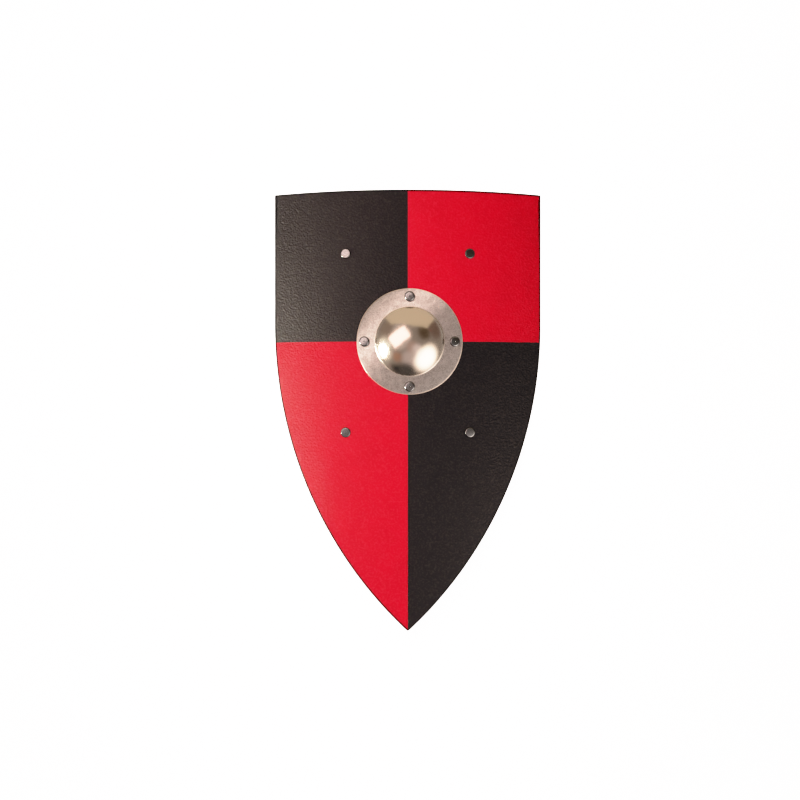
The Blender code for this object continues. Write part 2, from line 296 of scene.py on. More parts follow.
# %% Table and backdrop
def white_finish(name, white, glow):
    """A pale surface that also gives a little light, as a lit table does."""
    finish, _, shader = new_finish(name)
    inputs = {
        "Base Color": (white, white, white, 1.0),
        "Roughness": 1.0,
        "Specular IOR Level": 0.0,
        "Emission Color": (1.0, 1.0, 1.0, 1.0),
        "Emission Strength": glow,
    }
    join(shader, inputs)
    return finish


def round_stage(name, height, finish):
    """A disc, or with a height the wall that stands round it."""
    bm = bmesh.new()
    if height:
        radii = {"radius1": TABLE_RADIUS, "radius2": TABLE_RADIUS}
        bmesh.ops.create_cone(bm, segments=STAGE_SEGMENTS, depth=height, **radii)
        bmesh.ops.translate(bm, vec=(0, 0, height / 2), verts=bm.verts[:])
    else:
        bmesh.ops.create_circle(bm, cap_ends=True, segments=STAGE_SEGMENTS, radius=TABLE_RADIUS)
    thing = as_object(name, bm)
    thing.data.materials.append(finish)
    thing.visible_glossy = False
    thing.visible_diffuse = False
    return thing


round_stage("table", 0.0, white_finish("white table", TABLE_WHITE, TABLE_GLOW))
backdrop = round_stage("backdrop", BACKDROP_HEIGHT, white_finish("pale backdrop", 0.0, BACKDROP_GLOW))
backdrop.visible_shadow = False
print("table", TABLE_RADIUS, "m round")

# %% [markdown]
# The room is the world's own light, painted by direction. A direction is a bearing, counted in
# degrees from the right towards the top, and a height over the table. Soft round patches are
# cones round a direction, and the wall is what lies inside the planes through its edges. Light
# also spills round a lamp, so the softbox and the right lamp each have a paler patch behind them.

# %% What the room looks like
ROOM_COLOUR = (0.27, 0.23, 0.205, 1.0)
TABLE_LIGHT = (0.42, 0.39, 0.36, 1.0)
WALL_COLOUR = (0.62, 0.50, 0.38, 1.0)
WALL_CORNERS = ((41, -8), (137, -8), (137, 29), (72, 52), (38, 35))
WALL_SOFTNESS = 0.02
HORIZON_SOFTNESS = 0.03
# Each row is a name, the bearing and height of its middle, its reach and softness in degrees,
# and its colour.
PATCHES = (
    ("ceiling", 274, 52, 18, 10, (0.50, 0.41, 0.39, 1.0)),
    ("warm glow", 228, 44, 9, 7, (0.37, 0.22, 0.165, 1.0)),
    ("light round the softbox", 153, 62, 28, 6, (0.47, 0.40, 0.37, 1.0)),
    ("warm light overhead", 300, 77, 10, 7, (0.42, 0.295, 0.255, 1.0)),
    ("light round the right lamp", 318, 67, 8, 8, (0.66, 0.55, 0.53, 1.0)),
    ("dark corner below", 262, 18, 20, 7, (0.10, 0.092, 0.09, 1.0)),
    ("darkest corner", 240, 17, 7, 6, (0.06, 0.055, 0.055, 1.0)),
    ("dark corner right", 32, 48, 12, 9, (0.115, 0.085, 0.060, 1.0)),
    ("dim right", 27, 14, 15, 10, (0.18, 0.13, 0.11, 1.0)),
    ("dim left", 152, 22, 16, 10, (0.26, 0.205, 0.175, 1.0)),
)


# %% Directions
def towards(bearing, height):
    """A direction as a vector."""
    level = math.cos(math.radians(height))
    turn = math.radians(bearing)
    return Vector((level * math.cos(turn), level * math.sin(turn), math.sin(math.radians(height))))


def along_with(direction, other):
    """How far a direction goes along with a fixed one, from -1 to 1."""
    return calculate_vector("DOT_PRODUCT", direction, other, result="Value")


def patch_share(direction, bearing, height, reach, softness):
    """1 inside a soft round patch, 0 outside it."""
    outer = math.cos(math.radians(reach + softness))
    inner = math.cos(math.radians(reach - softness))
    near = along_with(direction, towards(bearing, height))
    return remap(near, outer, inner, way="SMOOTHSTEP")


def wall_share(direction):
    """1 on the wall, 0 beside it."""
    share = 1.0
    for first, second in zip(WALL_CORNERS, WALL_CORNERS[1:] + WALL_CORNERS[:1]):
        inward = towards(*first).cross(towards(*second)).normalized()
        near = along_with(direction, inward)
        inside = remap(near, -WALL_SOFTNESS, WALL_SOFTNESS, way="SMOOTHSTEP")
        share = calculate("MINIMUM", inside, share)
    return share


# %% Light of the room
world = bpy.data.worlds.new("room")
world.use_nodes = True
room = world.node_tree
direction = add(room, "ShaderNodeTexCoord").outputs["Generated"]
colour = ROOM_COLOUR
for _, *shape, patch_colour in PATCHES:
    colour = blend_colours(patch_share(direction, *shape), colour, patch_colour)
colour = blend_colours(wall_share(direction), colour, WALL_COLOUR)
above = remap(split(direction)["Z"], -HORIZON_SOFTNESS, 0.0)
join(room.nodes["Background"], {"Color": blend_colours(above, TABLE_LIGHT, colour)})
scene.world = world
print("patches in the room", len(PATCHES) + 1)


# %% One lamp
def soften(data, core, steepness):
    """Lets a lamp's brightness fall smoothly from its core to its edge."""
    data.use_nodes = True
    tree = data.node_tree
    spot = add(tree, "ShaderNodeNewGeometry").outputs["Parametric"]
    centred = calculate_vector("MULTIPLY_ADD", spot, (2.0, 2.0, 0.0), (-1.0, -1.0, 0.0))
    out = calculate_vector("LENGTH", centred, result="Value")
    share = remap(out, core, 1.0, 1.0, 0.0, "SMOOTHSTEP")
    join(tree.nodes["Emission"], {"Strength": calculate("POWER", share, steepness)})


def lamp(name, offset, along, size, core, colour, steepness):
    """A lamp that faces the crossing of the colour lines. Its colour is how bright it looks."""
    data = bpy.data.lights.new(name, "AREA")
    data.shape = "RECTANGLE"
    data.size, data.size_y = size
    data.color = colour
    data.energy = math.pi * size[0] * size[1]
    if core < 1.0:
        soften(data, core, steepness)
    facing = Vector(offset).normalized() * -1
    side = Vector(along)
    side = (side - facing * side.dot(facing)).normalized()
    turn = Matrix((side, side.cross(facing), facing * -1)).transposed()
    centre = Vector((0.0, colour_line_y, crown)) + Vector(offset)
    thing = bpy.data.objects.new(name, data)
    thing.matrix_world = Matrix.Translation(centre) @ turn.to_4x4()
    thing.visible_camera = False
    scene.collection.objects.link(thing)
    return thing


# %% The lamps
# Each row is a name, an offset, the way of the first side, both sides, the core, the colour
# and how steeply the light falls off round the core.
LAMPS = (
    ("side lamp", (-1.102, -0.316, 0.351), (0, 1, 0), (0.66, 0.64), 0.0, (178.0, 157.0, 130.0), 3.0),
    ("side glow", (-1.16, -0.21, 0.50), (0, 1, 0), (1.35, 1.20), 0.2, (0.62, 0.56, 0.47), 1.0),
    ("right lamp", (0.66, -0.57, 0.51), (0.65, 0.76, 0), (1.50, 1.46), 0.20, (2.7, 2.25, 1.95), 1.0),
    ("softbox", (-1.37, 0.69, 2.88), (0.87, 0.67, 0.24), (2.85, 1.85), 1.0, (1.80, 1.22, 1.07), 1.0),
    ("strip", (-0.09, -0.02, 0.58), (1, 0, 0), (0.30, 1.30), 1.0, (4.00, 4.05, 4.25), 1.0),
)
lamps = {settings[0]: lamp(*settings) for settings in LAMPS}
for name in ("side lamp", "side glow", "right lamp"):
    lamps[name].visible_diffuse = False
lamps["strip"].visible_glossy = False
lamps["strip"].data.cycles.use_multiple_importance_sampling = False
print("lamps", list(lamps))

# %% [markdown]
# Eight rivets go through the board. Their places follow from two patterns: four on a circle
# round the boss and four at the corners of a rectangle, where the straps are held.

# %% Rivet places
BOSS_HOLE_CIRCLE = 0.100
STRAP_SPREAD = 0.138
STRAP_SPAN = 0.199
STRAPS_BELOW_TOP = 0.170
SHANK_DIAMETER = 0.004
HOLE_PLAY = 0.0003
HOLE_MARGIN = 0.0034

boss_low, boss_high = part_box("boss")
boss_x = (boss_low.x + boss_high.x) / 2
boss_y = (boss_low.y + boss_high.y) / 2
strap_x = STRAP_SPREAD / 2
strap_y = top_y - STRAPS_BELOW_TOP
boss_places = []
for quarter in range(4):
    turn = math.radians(90 * quarter)
    reach = BOSS_HOLE_CIRCLE / 2
    boss_places.append((boss_x + reach * math.cos(turn), boss_y + reach * math.sin(turn)))
strap_places = []
for side in (1, -1):
    for end in (1, -1):
        strap_places.append((side * strap_x, strap_y + end * STRAP_SPAN / 2))
print("rivets at", [(round(x, 3), round(y, 3)) for x, y in boss_places + strap_places])

# %% [markdown]
# The board is cut flat first, as a joiner would lay it out: a straight top with a slight bow,
# two straight sides and two arcs that meet in a tip. Rings near the edge hold the rounded
# arris, and many lines across let the sheet bend smoothly. Each point keeps how deep it lies
# in the wood, from 0 on the face to 1 on the back, and if it lies near the rim. The finishes
# read both later.

# %% Smoothness of the board
ARC_STEPS = 72
TOP_STEPS = 24
BEND_COLUMNS = 100
CORNER_ROUND = 0.0012
CORNER_STEPS = 6
ARRIS_RINGS = 4
ARRIS_SUPPORT = 0.0018
SAME_PLACE = 0.000001


# %% The flat outline
def board_outline():
    """The plan from the tip round to the tip, with the arcs meeting the straight sides smoothly."""
    corner_y = top_y - TOP_RISE
    side_end_y = corner_y - SIDE_LENGTH
    reach = side_end_y - tip_y
    sweep = 2 * math.atan2(half_width, reach)
    radius = reach / math.sin(sweep)
    side = []
    for step in range(1, ARC_STEPS + 1):
        angle = sweep * (1 - step / ARC_STEPS)
        x = half_width - radius * (1 - math.cos(angle))
        side.append((x, side_end_y - radius * math.sin(angle)))
    top = []
    for step in range(TOP_STEPS + 1):
        across = 1 - 2 * step / TOP_STEPS
        top.append((half_width * across, corner_y + TOP_RISE * (1 - across**2)))
    return [(0.0, tip_y)] + side + top + [(-x, y) for x, y in reversed(side)]


print("outline points", len(board_outline()))


# %% The flat sheet with its rings and bend lines
def flat_sheet():
    """A flat face in rings. Each vertex keeps its set-back on the arris and if it is near the rim."""
    bm = bmesh.new()
    set_back = bm.verts.layers.float.new("set_back")
    near_rim = bm.verts.layers.float.new("near_rim")
    points = board_outline()
    corners = (points[0], points[ARC_STEPS + 1], points[ARC_STEPS + 1 + TOP_STEPS])
    rim = [bm.verts.new((x, y, 0)) for x, y in points]
    bm.faces.new(rim)
    sharp = [vert for vert, point in zip(rim, points) if point in corners]
    rounding = {"offset": CORNER_ROUND, "segments": CORNER_STEPS, "profile": 0.5}
    bmesh.ops.bevel(bm, geom=sharp, affect="VERTICES", **rounding)
    for vert in bm.verts:
        vert[set_back] = EDGE_ROUND
        vert[near_rim] = 1.0
    bm.faces.ensure_lookup_table()
    middle = bm.faces[0]
    inset = 0.0
    for step in range(1, ARRIS_RINGS + 2):
        angle = math.radians(90) * min(1.0, step / ARRIS_RINGS)
        wanted = EDGE_ROUND * (1 - math.cos(angle))
        if step > ARRIS_RINGS:
            wanted += ARRIS_SUPPORT
        way = {"use_even_offset": True, "use_boundary": True}
        bmesh.ops.inset_region(bm, faces=[middle], thickness=wanted - inset, **way)
        inset = wanted
        for vert in middle.verts:
            vert[set_back] = EDGE_ROUND * (1 - math.sin(angle))
            vert[near_rim] = 1.0 if step <= ARRIS_RINGS else 0.0
    for step in range(1, BEND_COLUMNS):
        angle = edge_angle * (2 * step / BEND_COLUMNS - 1)
        slice_across(bm, (bend_radius * math.sin(angle), 0, 0), (1, 0, 0))
    slice_across(bm, (0, colour_line_y, 0), (0, 1, 0))
    for y in sorted({y for _, y in boss_places + strap_places}):
        for side in (1, -1):
            slice_across(bm, (0, y + side * HOLE_MARGIN, 0), (0, 1, 0))
    return bm


def slice_across(bm, point, direction, clear_outer=False):
    """Adds a straight line of edges across a whole piece, or cuts off what lies beyond it."""
    geometry = bm.verts[:] + bm.edges[:] + bm.faces[:]
    plane = {"plane_co": point, "plane_no": direction, "clear_outer": clear_outer}
    return bmesh.ops.bisect_plane(bm, geom=geometry, dist=SAME_PLACE, **plane)


# %% The flat board
def flat_board():
    """The sheet with its back and its edge. Its points keep their share of the thickness."""
    sheet = flat_sheet()
    set_back = sheet.verts.layers.float["set_back"]
    sheet_rim = sheet.verts.layers.float["near_rim"]
    bm = bmesh.new()
    depth_share = bm.verts.layers.float.new("depth_share")
    near_rim = bm.verts.layers.float.new("near_rim")
    front = {}
    back = {}
    for vert in sheet.verts:
        for side, depth in ((front, vert[set_back]), (back, BOARD_THICKNESS - vert[set_back])):
            side[vert] = bm.verts.new((vert.co.x, vert.co.y, -depth))
            side[vert][depth_share] = depth / BOARD_THICKNESS
            side[vert][near_rim] = vert[sheet_rim]
    for face in sheet.faces:
        loop = face.verts[:] if face.normal.z > 0 else list(reversed(face.verts))
        bm.faces.new([front[vert] for vert in loop])
        bm.faces.new([back[vert] for vert in reversed(loop)])
    for edge in sheet.edges:
        if edge.is_boundary:
            first, second = edge.verts
            bm.faces.new([front[first], front[second], back[second], back[first]])
    sheet.free()
    bmesh.ops.recalc_face_normals(bm, faces=bm.faces[:])
    return as_object("board_panel", bm)


board_panel = flat_board()
print("flat board faces", len(board_panel.data.polygons))

# %% [markdown]
# The holes are drilled while the board is still flat. A hole makes its own faces uneven, and
# their shading with them, so the sheet has a line close above and below each row of holes.
# The uneven faces are then so short that the rivets' heads cover them.


# %% Drill a piece
HOLE_STEPS = 24
BOARD_DRILL = 0.04
BOSS_DRILL = 0.012


def drill(thing, spots, depth, square=False):
    """Cuts the rivets' holes. On a bent piece each drill stands square to the board."""
    bm = bmesh.new()
    radius = SHANK_DIAMETER / 2 + HOLE_PLAY
    size = {"segments": HOLE_STEPS, "radius1": radius, "radius2": radius, "depth": depth}
    for x, y in spots:
        angle = math.asin(x / bend_radius) if square else 0.0
        middle = bent(x, y) if square else Vector((x, y, 0))
        place = Matrix.Translation(middle) @ Matrix.Rotation(angle, 4, "Y")
        bmesh.ops.create_cone(bm, cap_ends=True, matrix=place, **size)
    tool = as_object("drill", bm)
    modifier = thing.modifiers.new("holes", "BOOLEAN")
    modifier.solver = "EXACT"
    modifier.object = tool
    settle(thing)
    bpy.data.objects.remove(tool)


def settle(thing):
    """Turns what the modifiers show into the object's own plain mesh."""
    graph = bpy.context.evaluated_depsgraph_get()
    mesh = bpy.data.meshes.new_from_object(thing.evaluated_get(graph), depsgraph=graph)
    thing.modifiers.clear()
    old = thing.data
    thing.data = mesh
    bpy.data.meshes.remove(old)


drill(board_panel, boss_places + strap_places, BOARD_DRILL)
print("drilled board faces", len(board_panel.data.polygons))

# %% [markdown]
# Bending is one rule for every point: its distance from the middle becomes an angle round the
# drum, and its depth shortens the drum's radius. That is what Geometry Nodes do best. The same
# few nodes serve the rivets later, so they are made by one function.


# %% Nodes that bend
def bend_nodes(position, radius, depth):
    """Bends a place of the flat sheet. Returns the new place and the board's lean there."""
    x, y, z = split(position)
    lean = calculate("ARCSINE", calculate("DIVIDE", x, radius))
    reach = calculate("ADD", radius, z)
    across = calculate("MULTIPLY", reach, calculate("SINE", lean))
    height = calculate("MULTIPLY", reach, calculate("COSINE", lean))
    return combine(X=across, Y=y, Z=calculate("SUBTRACT", height, depth)), lean


def bending_tree(name, sockets):
    """A tree that bends places. Returns it with its named inputs, the new place and the lean."""
    tree = bpy.data.node_groups.new(name, "GeometryNodeTree")
    tree.interface.new_socket(name="Geometry", in_out="OUTPUT", socket_type="NodeSocketGeometry")
    always = {"Geometry": "Geometry", "Drum radius": "Float", "Axis depth": "Float"}
    for label, kind in (always | sockets).items():
        tree.interface.new_socket(name=label, in_out="INPUT", socket_type="NodeSocket" + kind)
    given = tree.nodes.new("NodeGroupInput").outputs
    position = add(tree, "GeometryNodeInputPosition").outputs["Position"]
    return tree, given, *bend_nodes(position, given["Drum radius"], given["Axis depth"])


def stored(tree, name):
    """What the points keep under a name, for use inside a Geometry Nodes tree."""
    node = add(tree, "GeometryNodeInputNamedAttribute", {"Name": name}, data_type="FLOAT")
    return node.outputs["Attribute"]


def dress(geometry, material, selection=True):
    """Gives a finish to all faces, or only to those that are selected. Returns the geometry."""
    inputs = {"Geometry": geometry, "Material": material, "Selection": selection}
    return follow("GeometryNodeSetMaterial", inputs)


def run_tree(thing, tree, values):
    """Gives the object the tree with its inputs and settles the result into its mesh."""
    modifier = thing.modifiers.new(tree.name, "NODES")
    modifier.node_group = tree
    values = {"Drum radius": bend_radius, "Axis depth": axis_depth} | values
    for item in tree.interface.items_tree:
        if item.in_out == "INPUT" and item.name in values:
            modifier[item.identifier] = values[item.name]
    settle(thing)


# %% The tree that bends and dresses the board
def black_quarter(place):
    """1 in the two black quarters, 0 in the red ones."""
    x, y, _ = split(place)
    left = calculate("LESS_THAN", x, 0.0)
    upper = calculate("GREATER_THAN", y, colour_line_y)
    return calculate("COMPARE", left, upper)


def board_tree():
    """Wraps a flat sheet over the drum and gives each face its finish."""
    sockets = {finish: "Material" for finish in ("Wood", "Red paint", "Black paint")}
    tree, given, place, _ = bending_tree("bend over a drum", sockets)
    moved = follow("GeometryNodeSetPosition", {"Geometry": given["Geometry"], "Position": place})
    smooth = follow("GeometryNodeSetShadeSmooth", {"Geometry": moved})
    real = follow("GeometryNodeRealizeInstances", {"Geometry": smooth})
    painted = calculate("LESS_THAN", stored(tree, "depth_share"), PAINTED_SHARE)
    position = add(tree, "GeometryNodeInputPosition").outputs["Position"]
    black = calculate("MULTIPLY", painted, black_quarter(position))
    red = calculate("SUBTRACT", painted, black)
    wooden = dress(real, given["Wood"])
    dressed = dress(dress(wooden, given["Red paint"], red), given["Black paint"], black)
    add(tree, "NodeGroupOutput", {"Geometry": dressed})
    return tree


# %% [markdown]
# The face is sprayed with satin paint, masked off along the colour lines. A sprayed film dries
# with a fine pebbled skin. It hardly shows on the red, which is bright by itself, but on the
# black every pebble catches the lamps. So both paints share one relief and differ in colour.
# The tops of the pebbles are painted a little paler, a painted sheen for the lamps that they
# catch, and a thin line along the colour lines is painted paler, a painted highlight. On the
# arris the paint is dull and darkened with painted shade, which draws a dark line round the face.

# %% Colours of the board
RED_PAINT = (0.610, 0.0060, 0.0340, 1.0)
# The paler colours are painted sheen on the pebbles' tops and a painted highlight along the colour
# lines.
RED_PAINTED_SHEEN = (0.630, 0.0220, 0.0520, 1.0)
BLACK_PAINT = (0.0008, 0.0024, 0.0070, 1.0)
BLACK_PAINTED_SHEEN = (0.020, 0.018, 0.019, 1.0)
BIRCH_LIGHT = (0.70, 0.50, 0.30, 1.0)
BIRCH_DARK = (0.50, 0.32, 0.17, 1.0)
END_GRAIN = (0.34, 0.19, 0.09, 1.0)
GLUE_LINE = (0.16, 0.08, 0.035, 1.0)
PLY_COUNT = 5
PAINTED_SHARE = 0.145
PEBBLE_SCALE = 480.0
PEBBLE_ROUGHNESS = 0.55
PEBBLE_HEIGHT = 0.0008
PEBBLE_SHEEN_RANGE = (0.48, 0.68)
CLOUD_SCALE = 38.0
CLOUD_SHADE = 0.93
# Where the painted highlight along the colour lines is full, where it fades out, and how strong it is.
LINE_HIGHLIGHT_FULL = 0.00036
LINE_HIGHLIGHT_REACH = 0.0009
LINE_HIGHLIGHT_SHARE = 0.6
# The rim's darker colour is painted shade on the arris. Its higher roughness is the paint's own.
SHADED_RIM_REACH = (0.1, 0.7)
RIM_PAINTED_SHADE = 0.08
RIM_ROUGHNESS = 0.75
SATIN_SCALE = 60.0
SATIN_SPREAD = 0.02
WAVES = (70, 14, 70)
WAVE_HEIGHT = 0.00012
FINE_SCALE = 1500.0
FINE_HEIGHT = 0.00004


# %% Paint
def colour_line_share(tree):
    """1 on a thin painted highlight along the colour lines, 0 beside it."""
    x, y, _ = split(places(tree, centre=(0, colour_line_y, 0)))
    nearer = calculate("MINIMUM", calculate("ABSOLUTE", x), calculate("ABSOLUTE", y))
    return remap(nearer, LINE_HIGHLIGHT_FULL, LINE_HIGHLIGHT_REACH, 1.0, 0.0)


def paint_finish(name, colour, rubbed, specular, roughness):
    """Sprayed satin paint with its pebbled skin, painted sheen on the pebbles and colour lines, and a
    dull rim with painted shade.
    """
    finish, tree, shader = new_finish(name)
    pebbles = noise(places(tree), PEBBLE_SCALE, roughness=PEBBLE_ROUGHNESS)
    cloud = spread(noise(places(tree), CLOUD_SCALE, detail=4.0))
    paint = blend_colours(cloud, colour, darker(colour, CLOUD_SHADE))
    # Painted sheen: the pebbles' tops blend towards the paler colour given as rubbed.
    paint = blend_colours(remap(pebbles, *PEBBLE_SHEEN_RANGE), paint, rubbed)
    # Painted highlight: a thin paler line along the colour lines.
    line_highlight = calculate("MULTIPLY", colour_line_share(tree), LINE_HIGHLIGHT_SHARE)
    paint = blend_colours(line_highlight, paint, rubbed)
    # Painted shade: the colour darkens on the arris and just inside it, and the paint is duller there.
    rim = remap(kept(tree, "near_rim"), *SHADED_RIM_REACH)
    satin = noise(places(tree), SATIN_SCALE)
    satin = spread(satin, roughness - SATIN_SPREAD, roughness + SATIN_SPREAD)
    waves = bump(noise(places(tree, WAVES), detail=1.0), WAVE_HEIGHT)
    skin = bump(pebbles, PEBBLE_HEIGHT, waves)
    inputs = {
        "Base Color": blend_colours(rim, paint, darker(colour, RIM_PAINTED_SHADE)),
        "Roughness": blend_values(rim, satin, RIM_ROUGHNESS),
        "Specular IOR Level": specular,
        "Normal": bump(noise(places(tree), FINE_SCALE), FINE_HEIGHT, skin),
    }
    join(shader, inputs)
    return finish


# %% [markdown]
# The edge is bare plywood: its layers lie crosswise to each other, so long grain and end grain
# take turns between dark glue lines. The back is plain birch veneer. The depth that every
# point keeps tells them apart, and just under the face some paint has crept over the wood.

# %% Grain of the wood
CREPT_SCALE = 700.0
CREPT_DEPTH = (0.15, 0.24)
GLUE_PLACE = (0.42, 0.49)
GLUE_DARKNESS = 0.85
BACK_SHARE = 0.9
WOOD_ROUGHNESS = (0.55, 0.72)
FIBRE_HEIGHT = 0.00010
VENEER_GRAIN = (150, 5, 150)
STREAKS = (0.35, 0.70)
PORES = (1400, 45, 1400)
PORE_EDGE = (0.62, 0.70)
PORE_SHARE = 0.5
LONG_GRAIN = (900, 30, 900)
FIBRES = (1100, 40, 1100)
END_DOT_SCALE = 2600.0
END_DOTS = (0.35, 0.65)


# %% Paint that crept over the arris
def crept_paint(tree, share, wood):
    """The quarters' colours on a ragged strip under the face."""
    paint = blend_colours(black_quarter(places(tree)), RED_PAINT, BLACK_PAINT)
    ragged = spread(noise(places(tree), CREPT_SCALE, detail=4.0), *CREPT_DEPTH)
    return blend_colours(calculate("LESS_THAN", share, ragged), wood, paint)


# %% Bare wood
def wood_colours(tree, share):
    """Birch veneer on the back, and on the edge its plies with their glue lines."""
    streaks = remap(noise(places(tree, VENEER_GRAIN), detail=5.0, roughness=0.6), *STREAKS)
    veneer = blend_colours(streaks, BIRCH_LIGHT, BIRCH_DARK)
    pores = remap(noise(places(tree, PORES)), *PORE_EDGE, 0.0, PORE_SHARE)
    veneer = blend_colours(pores, veneer, BIRCH_DARK)
    long_grain = spread(noise(places(tree, LONG_GRAIN), detail=3.0))
    long_ply = blend_colours(long_grain, BIRCH_LIGHT, BIRCH_DARK)
    end_dots = remap(noise(places(tree), END_DOT_SCALE), *END_DOTS)
    end_ply = blend_colours(end_dots, BIRCH_DARK, END_GRAIN)
    layer = calculate("MULTIPLY", share, float(PLY_COUNT))
    is_cross = calculate("MODULO", calculate("FLOOR", layer), 2.0)
    edge = blend_colours(is_cross, long_ply, end_ply)
    from_middle = calculate("ABSOLUTE", calculate("SUBTRACT", calculate("FRACT", layer), 0.5))
    edge = blend_colours(remap(from_middle, *GLUE_PLACE, 0.0, GLUE_DARKNESS), edge, GLUE_LINE)
    return blend_colours(calculate("GREATER_THAN", share, BACK_SHARE), edge, veneer)


# %% The wood's finish
def plywood_finish():
    """Veneer and plies with an open grain."""
    finish, tree, shader = new_finish("birch plywood")
    share = kept(tree, "depth_share")
    fibres = noise(places(tree, FIBRES), detail=3.0)
    inputs = {
        "Base Color": crept_paint(tree, share, wood_colours(tree, share)),
        "Roughness": spread(fibres, *WOOD_ROUGHNESS),
        "Normal": bump(fibres, FIBRE_HEIGHT),
    }
    join(shader, inputs)
    return finish


# %% Bend the board and sand its rests
board_finishes = {
    "Wood": plywood_finish(),
    "Red paint": paint_finish("red paint", RED_PAINT, RED_PAINTED_SHEEN, specular=0.43, roughness=0.31),
    "Black paint": paint_finish("black paint", BLACK_PAINT, BLACK_PAINTED_SHEEN, specular=0.74, roughness=0.43),
}
run_tree(board_panel, board_tree(), board_finishes)


def sand_rests(thing):
    """Cuts away what lies below the table, so that the lower arrises get their flats."""
    bm = bmesh.new()
    bm.from_mesh(thing.data)
    cut = slice_across(bm, (0, 0, 0), (0, 0, -1), clear_outer=True)
    rims = [part for part in cut["geom_cut"] if isinstance(part, bmesh.types.BMEdge)]
    bmesh.ops.holes_fill(bm, edges=rims)
    bm.to_mesh(thing.data)
    bm.free()


sand_rests(board_panel)
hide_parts("board")
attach(board_panel, "root")
print("board faces", len(board_panel.data.polygons))

# %% [markdown]
# The boss is one disc of steel, pressed so that a shallow dome rises out of a flange. The dome
# is part of a ball, and a small fillet joins it to the flange, where light gathers in a thin
# ring. The half section is turned round its axis, and the flange then follows the board.

# %% Boss sizes
BOSS_SHEET = 0.001
BOSS_RIM_ROUND = 0.0004
DOME_DIAMETER = 0.077
DOME_HEIGHT = 0.015
DOME_FILLET = 0.0016
SEAT_GAP = 0.0003
BOSS_STEPS = 168
DOME_STEPS = 40
FILLET_STEPS = 8
FLANGE_STEPS = 14
RIM_STEPS = 4

boss_radius = (boss_high.x - boss_low.x) / 2
dome_base = DOME_DIAMETER / 2
ball = (dome_base**2 + DOME_HEIGHT**2) / (2 * DOME_HEIGHT)
centre_drop = ball + DOME_FILLET - DOME_HEIGHT
dome_foot = math.sqrt((ball + DOME_FILLET) ** 2 - centre_drop**2)
print("dome slope at its foot", round(math.degrees(math.atan2(dome_foot, centre_drop)), 1))


# %% Half section of the boss
def boss_side(offset):
    """One side of the sheet from the apex to the rim's rounding, at an offset under the outer side."""
    touch = math.atan2(dome_foot, centre_drop)
    points = []
    for step in range(DOME_STEPS):
        angle = touch * step / DOME_STEPS
        height = BOSS_SHEET + DOME_HEIGHT - ball + (ball - offset) * math.cos(angle)
        points.append(((ball - offset) * math.sin(angle), height))
    for step in range(FILLET_STEPS):
        angle = touch * (1 - step / FILLET_STEPS)
        radius = DOME_FILLET + offset
        height = BOSS_SHEET + DOME_FILLET - radius * math.cos(angle)
        points.append((dome_foot - radius * math.sin(angle), height))
    reach = boss_radius - BOSS_RIM_ROUND - dome_foot
    for step in range(FLANGE_STEPS + 1):
        points.append((dome_foot + reach * step / FLANGE_STEPS, BOSS_SHEET - offset))
    return points


def boss_section():
    """The outer side, the rounded rim and the inner side."""
    rim = []
    for side, start in ((1, 0), (-1, 90)):
        for step in range(1, RIM_STEPS):
            angle = math.radians(start + 90 * step / RIM_STEPS)
            middle = BOSS_SHEET - BOSS_RIM_ROUND if side > 0 else BOSS_RIM_ROUND
            out = boss_radius - BOSS_RIM_ROUND * (1 - math.sin(angle))
            rim.append((out, middle + BOSS_RIM_ROUND * math.cos(angle)))
    return boss_side(0.0) + rim + list(reversed(boss_side(BOSS_SHEET)))


# %% Turn a half section
METAL_SHARP = 35


def shade(thing, sharp_from):
    """Smooth shading, with sharp edges from an angle in degrees on."""
    thing.data.shade_smooth()
    thing.data.set_sharp_from_angle(angle=math.radians(sharp_from))


def turned(name, section, steps):
    """A round piece from the (radius, height) points of its half section."""
    bm = bmesh.new()
    points = [bm.verts.new((radius, 0, height)) for radius, height in section]
    closed = section[0][0] > 0 and section[-1][0] > 0
    pairs = list(zip(points, points[1:])) + ([(points[-1], points[0])] if closed else [])
    lines = [bm.edges.new(pair) for pair in pairs]
    around = {"cent": (0, 0, 0), "axis": (0, 0, 1), "angle": math.tau}
    bmesh.ops.spin(bm, geom=points + lines, steps=steps, use_merge=True, **around)
    bmesh.ops.remove_doubles(bm, verts=bm.verts[:], dist=SAME_PLACE)
    bmesh.ops.recalc_face_normals(bm, faces=bm.faces[:])
    outermost = max(radius for radius, _ in section)
    reach = bm.verts.layers.float.new("reach")
    for vert in bm.verts:
        vert[reach] = vert.co.xy.length / outermost
    thing = as_object(name, bm)
    shade(thing, METAL_SHARP)
    return thing


# %% The boss on the board
boss_shell = turned("boss_shell", boss_section(), BOSS_STEPS)
seat = bent(boss_x, boss_y).z
for vertex in boss_shell.data.vertices:
    share = min(1.0, math.hypot(vertex.co.x, vertex.co.y) / dome_base)
    drop = seat - bent(vertex.co.x + boss_x, 0).z
    vertex.co += Vector((boss_x, boss_y, seat + SEAT_GAP - drop * share**2))
drill(boss_shell, boss_places, BOSS_DRILL, square=True)
shade(boss_shell, METAL_SHARP)
print("boss faces", len(boss_shell.data.polygons))

# %% [markdown]
# The dome is polished and the flange is only rubbed, so one metal shows two surfaces. Distance
# from the boss's axis tells them apart. Rubbing leaves short fine scratches in all directions
# and a soft mottling, and polishing leaves faint ripples that bend the mirrored lamps. A pressed
# flange is never quite true. This one shines as if it bent along a diagonal, which only a bump
# in the finish tells: its height sinks with the square of the distance from that diagonal.

